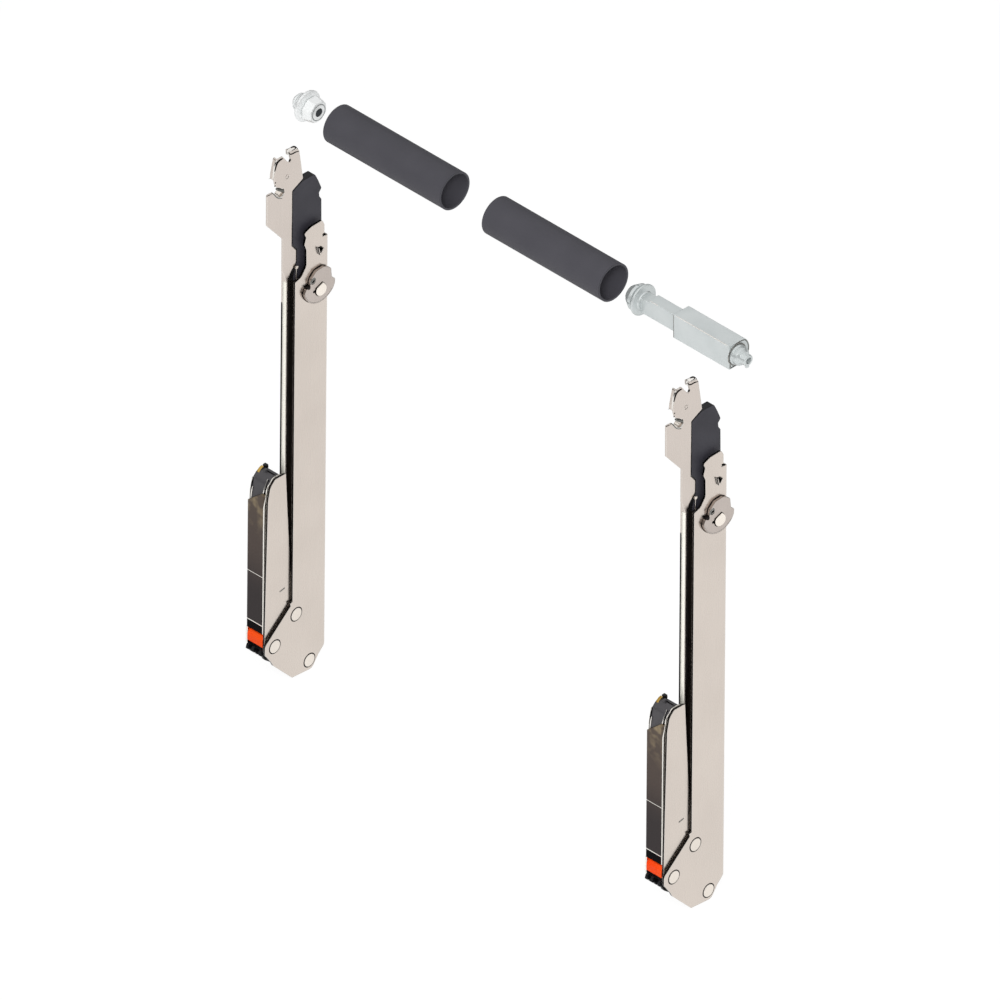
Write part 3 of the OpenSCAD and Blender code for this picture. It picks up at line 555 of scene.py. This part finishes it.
def turned(name, place, profile, look, body, sides=64, turn=0.0, stands_for=None):
    """Solid turned round X from points of (x, radius); few sides make a faceted block."""
    points = []
    faces = []
    for x, radius in profile:
        for i in range(sides):
            t = math.radians(turn) + 2 * math.pi * i / sides
            points.append((x, radius * math.cos(t), radius * math.sin(t)))
    for k in range(len(profile) - 1):
        for i in range(sides):
            j = (i + 1) % sides
            faces.append((k * sides + i, k * sides + j, (k + 1) * sides + j, (k + 1) * sides + i))
    last = (len(profile) - 1) * sides
    faces.append(tuple(reversed(range(sides))))
    faces.append(tuple(range(last, last + sides)))
    mesh = bpy.data.meshes.new(name)
    mesh.from_pydata(points, [], faces)
    shape = bmesh.new()
    shape.from_mesh(mesh)
    bmesh.ops.recalc_face_normals(shape, faces=shape.faces)
    shape.to_mesh(mesh)
    shape.free()
    fit_piece(name, mesh, place, look, body, stands_for)


def arc(centre, radius, start, end, steps):
    """Points on an arc, in degrees from +Y towards +Z."""
    angles = [math.radians(start + (end - start) * i / steps) for i in range(steps + 1)]
    return [(centre[0] + radius * math.cos(t), centre[1] + radius * math.sin(t)) for t in angles]


def round_spot(centre, radius):
    """Outline of a small round spot."""
    return arc(centre, radius, 0, 340, 17)


def near(centre, points):
    """Points given from a centre, as places in the arm's frame."""
    return [(centre[0] + y, centre[1] + z) for y, z in points]


def line(centre, points, x, radius):
    """Bead points at one x and radius round a centre, thinning out at both ends."""
    last = len(points) - 1
    return [(x, y, z, radius * (0.5 if i in (0, last) else 1))
            for i, (y, z) in enumerate(near(centre, points))]


# The cross rod's details

def make_adapter():
    """Ridged plug, thin flange and eight-sided collar with its ringed bore."""
    place = rod_frame(ADAPTER_X)
    plug = [(0.0, 2.8), (0.5, 3.3), (1.6, 4.4), (2.0, 4.5), (2.2, 3.9), (3.6, 5.3), (4.0, 5.4),
            (4.3, 4.8), (5.8, 6.1), (6.3, 6.1), (6.3, 5.0)]
    flange = [(6.2, 7.5), (6.4, 7.9), (6.8, 8.1), (7.5, 8.1), (7.8, 7.8), (8.0, 6.4), (8.7, 5.0)]
    collar = [(8.0, 4.2), (9.2, 4.6), (9.5, 6.3), (10.1, 6.8), (13.2, 6.1), (14.5, 5.5),
              (14.7, 5.0)]
    groove = [(14.6, 4.4), (14.8, 4.4), (14.8, 4.0)]
    face = [(14.7, 3.9), (14.85, 3.9), (14.9, 3.8), (14.9, 2.4)]
    bore = [(14.8, 2.2), (14.96, 2.2), (14.96, 0.1)]
    turned("adapter_plug", place, plug, ADAPTER_METAL, "levers", stands_for="rod_adapter")
    turned("adapter_flange", place, flange, ADAPTER_METAL, "levers")
    turned("adapter_collar", place, collar, ADAPTER_METAL, "levers", sides=8, turn=22.5)
    # The groove and the bore are painted shade
    turned("adapter_groove", place, groove, (ADAPTER_SHADE, "grey_adapter"), "levers")
    turned("adapter_face", place, face, ADAPTER_METAL, "levers")
    turned("adapter_bore", place, bore, (BORE_SHADE, "black_liner"), "levers")


def make_barrel_lines():
    """Bright edges of the barrel and shaft as painted highlights, and lines of painted shade at
    the barrel's end, step and neck.
    """
    place = rod_frame(BARREL_X)
    groove = [(-4.5, -6.1), (-4.5, 6.1), (4.6, 6.2), (6.4, 4.6), (7.6, 2.2), (7.8, 0.0),
              (7.6, -2.2), (6.4, -4.6), (4.6, -6.2), (-4.5, -6.1)]
    groove = [(37.02, y, z, 0.26) for y, z in groove]
    bead("barrel_end_groove", place, groove, BARREL_SHADE, "barrel")
    edge = [(0.3, -4.85, 6.5, 0.1), (1.0, -4.95, 6.6, 0.28), (36.0, -4.95, 6.6, 0.28),
            (36.8, -4.85, 6.5, 0.1)]
    bead("barrel_bright_edge", place, edge, BARREL_SHINE, "barrel")
    step = [(-0.02, -5.0, z, 0.2) for z in (-6.4, -3, 0, 3, 6.4)]
    bead("barrel_step_line", place, step, BARREL_SHADE, "barrel")
    ring = [(36.9, 5.9), (37.3, 5.9), (37.3, 5.2)]
    turned("barrel_neck_ring", place, ring, BARREL_SHADE, "barrel")
    edge = [(15.2, -3.1, 4.7, 0.1), (16.0, -3.1, 4.7, 0.22), (20.6, -3.1, 4.7, 0.22)]
    bead("shaft_bright_edge", rod_frame(SHAFT_X), edge, BARREL_SHINE, "levers")


# The arms' details

def make_rivet_rings(side):
    """Ring of painted shade in the seat of each rivet head on the foot."""
    for i, spot in enumerate(FOOT_RIVETS):
        rings = [arc(spot, radius, 0, 352, 44) for radius in (3.9, 3.2)]
        plate(f"{side}_rivet_ring_{i + 1}", arm_frame(side), rings, SHADE_LINE, "levers",
              x=-0.3, thick=0.33, edge=0.02)


def make_stem_strips(side):
    """The narrow lever's stem from the door: its middle whitened as a painted highlight, and
    painted shade along the fold at the far edge.
    """
    place = arm_frame(side)
    bright = [(-2.96, 66.0), (-2.96, 226.0), (-2.86, 226.0), (-2.86, 66.0)]
    fold = [(-2.98, 66.0), (-2.98, 212.0), (-2.86, 214.0), (-2.86, 66.0)]
    plate(f"{side}_stem_bright", place, [bright], (STEM_SHEEN, "bright_steel"), f"{side}_link",
          x=-5.6, thick=2.55, edge=0.01)
    plate(f"{side}_stem_fold", place, [fold], DEEP_SHADE, f"{side}_link",
          x=-6.42, thick=0.85, edge=0.01)


def make_notch(side):
    """Painted shade in the relief notch at the wide lever's shoulder."""
    shade = [(19.2, 244.4), (20.8, 243.8), (20.8, 242.8), (19.2, 243.6)]
    plate(f"{side}_shoulder_notch", arm_frame(side), [shade], DEEP_SHADE, "levers",
          x=-1.1, thick=0.9, edge=0.1)


def make_stud(side):
    """The latch's stud: its pin, a ring of painted shade as the seat round it, and the half-round
    head.
    """
    name = f"{side}_stud_"
    place = arm_frame(side)
    half = [(0.95, 3.1), (2.0, 2.0), (2.9, 0.6), (3.3, -0.7), (3.15, -2.1), (2.35, -3.2),
            (1.1, -3.8), (-0.4, -3.8), (-1.9, -3.3), (-2.9, -2.3), (-3.5, -1.0), (-3.6, 0.3),
            (-3.2, 1.5)]
    pin = arc(LATCH, 2.4, 0, 350, 35)
    seat = near(LATCH, [(y * 1.1 - 0.12, z * 1.1 + 0.12) for y, z in half])
    plate(name + "pin", place, [pin], STUD_METAL, "levers",
          x=-1.2, thick=3.0, edge=0.1, stands_for=f"{side}_latch_stud")
    plate(name + "seat", place, [seat], DEEP_SHADE, "levers", x=LATCH_FACE, thick=0.12, edge=0.02)
    plate(name + "head", place, [near(LATCH, half)], STUD_METAL, "levers",
          x=LATCH_FACE + 0.1, thick=0.52, edge=0.14)


def make_latch_details(side):
    """Painted shade at the spring's end in its recess, along the fold above the hook, at a dot and
    in the lines round the rim.
    """
    name = f"{side}_latch_"
    place = arm_frame(side)
    lock = f"{side}_lock"
    recess = [(-7.4, 7.0), (-6.0, 8.1), (-4.4, 8.4), (-3.5, 7.2), (-3.7, 6.1), (-5.6, 5.4),
              (-7.0, 5.3)]
    hole = round_spot((-5, 6), 1.1)
    spring = [(-6.2, 6.3), (-5.2, 7.6), (-4.4, 7.4), (-4.0, 6.2), (-5.0, 5.2), (-6.0, 5.4)]
    fold = [(-9.7, 4.6), (-8.2, 4.5), (-6.9, 4.4), (-6.4, 3.4), (-6.6, 2.4), (-8.2, 3.2)]
    plate(name + "recess", place, [near(LATCH, recess), near(LATCH, hole)], GREY_SHADE_LINE, lock,
          x=LATCH_FACE, thick=0.06, edge=0.01)
    plate(name + "spring_end", place, [near(LATCH, spring)], DEEP_SHADE, lock,
          x=1.0, thick=0.72, edge=0.05)
    plate(name + "fold", place, [near(LATCH, fold)], SHADE_LINE, lock, x=0.3, thick=1.3, edge=0.1)
    mark = near(LATCH, round_spot((-4.5, 0.1), 0.75))
    plate(name + "dot", place, [mark], DEEP_SHADE, lock, x=LATCH_FACE, thick=0.1, edge=0.02)
    rim = near(LATCH, arc(RIM_MIDDLE, 10.25, 192, 320, 24))
    bead(name + "rim_line", place, [(LATCH_FACE, y, z, 0.1) for y, z in rim], GREY_SHADE_LINE, lock)
    foot = near(LATCH, arc(RIM_MIDDLE, 10.85, 186, 322, 24))
    bead(name + "foot_line", place, [(0.22, y, z, 0.17) for y, z in foot], SHADE_LINE, lock)
    shoulder = [(-7.3, 5.2), (-6.6, 8.1), (-4.9, 9.7), (-3.0, 11.2), (-0.4, 11.6), (2.2, 11.6),
                (4.6, 10.3)]
    bead(name + "shoulder_line", place, line(LATCH, shoulder, x=0.24, radius=0.18), SHADE_LINE,
         lock)


def make_head_details(side):
    """Bright bends with a painted highlight, painted shade along their creases, and painted shade
    in and round the slot of the narrow lever's head.
    """
    name = f"{side}_head_"
    place = arm_frame(side)
    link = f"{side}_link"
    hood = [(-4.5, -1.9, -1.9, 0.5), (-4.5, -1.5, -1.2, 1.25), (-4.5, 1.3, -0.75, 1.42),
            (-4.5, 3.4, -1.5, 1.3), (-4.3, 5.0, -2.9, 0.6)]
    hood = [(x, HEAD_TOP[0] + y, HEAD_TOP[1] + z, radius) for x, y, z, radius in hood]
    bead(name + "hood", place, hood, BRIGHT_BEND, link)
    strokes = [  # name, x, radius, finish and slot, points
        ("hood_back", -4.6, 0.68, SHADE_LINE, [(0.9, 0.35), (2.4, 0.15), (4.0, -0.9), (5.3, -2.4)]),
        ("hood_crease", -3.0, 0.32, SHADE_LINE,
         [(-2.0, -0.2), (-1.6, -1.4), (0.4, -2.1), (2.6, -1.9), (4.7, -2.6)]),
        ("prong_crease", -3.0, 0.2, GREY_SHADE_LINE, [(-1.7, -1.0), (-1.4, -2.2), (-1.0, -4.4)]),
        ("bend", -3.7, 0.62, BRIGHT_BEND,
         [(-11.7, -10.9), (-11.2, -6.6), (-10.1, -2.4), (-9.2, -1.4), (-7.0, -1.0)]),
        ("bend_crease", -2.98, 0.46, SHADE_LINE,
         [(-11.3, -6.4), (-10.3, -2.8), (-9.2, -1.8), (-7.0, -1.3), (-6.1, -1.6)]),
        ("slot_lip", -3.3, 0.5, BRIGHT_BEND,
         [(-13.0, -18.0), (-11.4, -20.0), (-9.6, -22.2), (-7.6, -23.4), (-5.4, -23.4),
          (-4.5, -21.8)]),
        ("slot_crease", -2.95, 0.28, GREY_SHADE_LINE,
         [(-13.3, -17.6), (-12.1, -18.9), (-10.5, -21.3), (-8.5, -23.4), (-6.3, -24.2)]),
        ("slot_inner_shade", -3.6, 1.1, GREY_SHADE_LINE, [(-9.5, -17.6), (-7.2, -19.2), (-4.6, -21.3)]),
        ("slot_mouth", -3.1, 0.28, SHADE_LINE, [(-16.0, -18.2), (-15.0, -18.35), (-13.2, -18.5)]),
        ("tab_edge", -5.9, 0.16, GREY_SHADE_LINE,
         [(-12.3, -11.6), (-10.2, -12.4), (-9.9, -8.0), (-9.4, -3.2)]),
    ]
    for stroke, x, radius, look, points in strokes:
        bead(name + stroke, place, line(HEAD_TOP, points, x, radius), look, link)
    mark = near(HEAD_TOP, round_spot((-1.3, -4.9), 0.75))
    plate(name + "notch_dot", place, [mark], DEEP_SHADE, link, x=NARROW_FACE, thick=0.1, edge=0.02)
    for i, centre in enumerate([(-11.1, -14.9), (-10.8, -13.2)]):
        speck = near(HEAD_TOP, round_spot(centre, 0.4))
        plate(f"{name}speck_{i + 1}", place, [speck], SHADE_LINE, link,
              x=NARROW_FACE, thick=0.08, edge=0.01)


def make_bracket_details(side):
    """Brass leaf, nub, and thin bright and dark strips of painted highlight and painted shade at
    the bracket's upper end.
    """
    name = f"{side}_bracket_"
    place = arm_frame(side, bracket=True)
    bracket = f"{side}_bracket"
    leaf = [(-0.3, 94.3), (0.4, 95.3), (1.6, 96.1), (2.9, 96.5), (3.0, 96.1), (1.9, 95.6),
            (0.8, 94.9), (0.1, 94.0)]
    plate(name + "brass_leaf", place, [leaf], (BRASS, "brass_spring"), bracket,
          x=-12.7, thick=1.5, edge=0.05, stands_for=f"{side}_cap_spring")
    rib = [(-12.0, -4.5, 79.8, 0.2), (-12.0, -4.45, 82.0, 0.4), (-12.0, -4.2, 85.5, 0.4),
           (-11.9, -3.7, 88.0, 0.2)]
    bead(name + "cap_rib", place, rib, BRIGHT_BEND, bracket)
    for tone, look, x in (("bright", BRIGHT_BEND, -4.6), ("dark", DEEP_SHADE, -3.9)):
        strip = [(x, -4.4, 80.0, 0.2), (x, -4.4, 84.0, 0.4), (x, -3.3, 90.0, 0.4),
                 (x, -1.0, 94.2, 0.2)]
        bead(f"{name}leaf_{tone}", place, strip, look, bracket)
    far_edge = [(-4.4, 80.0, 0.2), (-4.0, 87.0, 0.35), (-2.3, 92.4, 0.35), (0.2, 94.6, 0.2)]
    bead(name + "cap_far_edge", place, [(CAP_FAR_SIDE, *point) for point in far_edge], DEEP_SHADE,
         bracket)
    crest = [(x, 2.3, 95.75, radius) for x, radius in ((-10.6, 0.3), (-7.0, 0.3), (-3.5, 0.2))]
    bead(name + "cap_crest", place, crest, DEEP_SHADE, bracket)
    nub = [(3.9, 94.6), (3.9, 96.4), (5.6, 96.5), (5.8, 94.6)]
    plate(name + "cap_nub", place, [nub], (CLAW_PLASTIC, "grey_cap"), bracket,
          x=-12.9, thick=2.1, edge=0.06)


# Floor, light and camera

def seen_rays(tree):
    """1 for camera, glossy and transmission rays."""
    path = add(tree, "ShaderNodeLightPath")
    seen = maths(tree, "MAXIMUM", path.outputs["Is Camera Ray"], path.outputs["Is Glossy Ray"])
    return maths(tree, "MAXIMUM", seen, path.outputs["Is Transmission Ray"])


def make_floor():
    """Pale floor under the feet of the levers, seen white with the object's soft shadow on it."""
    low = cad_box[0][2] - 0.0002
    reach = 2.5
    glow_strength = 1.09
    glow_share = 0.86
    mesh = bpy.data.meshes.new("floor")
    corners = [(x * reach, y * reach, low) for x, y in ((-1, -1), (1, -1), (1, 1), (-1, 1))]
    mesh.from_pydata(corners, [], [(0, 1, 2, 3)])
    floor = bpy.data.objects.new("floor", mesh)
    scene.collection.objects.link(floor)
    finish, tree, shader = new_finish("floor_white", Base_Color=(0.8, 0.8, 0.8, 1), Roughness=1.0,
                                      Specular_IOR_Level=0.0)
    glow = add(tree, "ShaderNodeEmission", {"Strength": glow_strength})
    mix = add(tree, "ShaderNodeMixShader")
    tree.links.new(maths(tree, "MULTIPLY", seen_rays(tree), glow_share), mix.inputs[0])
    tree.links.new(shader.outputs[0], mix.inputs[1])
    tree.links.new(glow.outputs[0], mix.inputs[2])
    tree.links.new(mix.outputs[0], tree.nodes["Material Output"].inputs[0])
    mesh.materials.append(finish)


def make_world():
    """White studio with a plain light, where glossy rays meet a dark band near the horizon."""
    band_low = -0.12
    band_high = 0.3
    band_depth = 0.92
    plain = 0.4
    world = bpy.data.worlds.new("studio")
    scene.world = world
    world.use_nodes = True
    tree = world.node_tree
    sky = tree.nodes["Background"]
    sky.inputs[0].default_value = (1, 1, 1, 1)
    level = maths(tree, "ADD", maths(tree, "MULTIPLY", seen_rays(tree), 1 - plain), plain)
    spot = axes_of(tree, add(tree, "ShaderNodeTexCoord").outputs["Generated"])
    above = maths(tree, "GREATER_THAN", spot["Z"], band_low)
    below = maths(tree, "LESS_THAN", spot["Z"], band_high)
    band = maths(tree, "MULTIPLY", above, below)
    glossy = add(tree, "ShaderNodeLightPath").outputs["Is Glossy Ray"]
    shade = maths(tree, "MULTIPLY", maths(tree, "MULTIPLY", band, glossy), band_depth)
    pale = maths(tree, "SUBTRACT", 1.0, shade)
    tree.links.new(maths(tree, "MULTIPLY", level, pale), sky.inputs[1])


def make_lamp(name, place, size, power):
    """Round lamp aimed at the middle of the set and left out of reflections."""
    aim = Vector((0.14, 0, 0))
    data = bpy.data.lights.new(name, "AREA")
    data.shape = "DISK"
    data.size = size
    data.energy = power
    lamp = bpy.data.objects.new(name, data)
    lamp.location = place
    lamp.visible_glossy = False
    lamp.rotation_euler = (aim - Vector(place)).to_track_quat("-Z", "Y").to_euler()
    scene.collection.objects.link(lamp)


def make_camera():
    """Parallel view from the door side, the right and above, at equal angles to all three axes."""
    middle = Vector((142.2, -21.376, -41.141)) * MM
    away = Vector((1, -1, 1)).normalized()
    distance = 1.2
    picture_width = 470.6 * MM
    data = bpy.data.cameras.new("camera")
    data.type = "ORTHO"
    data.ortho_scale = picture_width
    data.clip_end = 10
    camera = bpy.data.objects.new("camera", data)
    camera.location = middle + away * distance
    camera.rotation_euler = (-away).to_track_quat("-Z", "Y").to_euler()
    scene.collection.objects.link(camera)
    scene.camera = camera


dress_cad_nodes()
make_adapter()
make_barrel_lines()
for side in ARM_X:
    make_rivet_rings(side)
    make_stem_strips(side)
    make_notch(side)
    make_stud(side)
    make_latch_details(side)
    make_head_details(side)
    make_bracket_details(side)

make_camera()
make_floor()
make_world()
make_lamp("key", (1.1, -1.0, 1.05), size=0.7, power=20)
make_lamp("fill", (-0.9, -1.2, 0.8), size=1.2, power=3)

scene.view_settings.view_transform = "Standard"
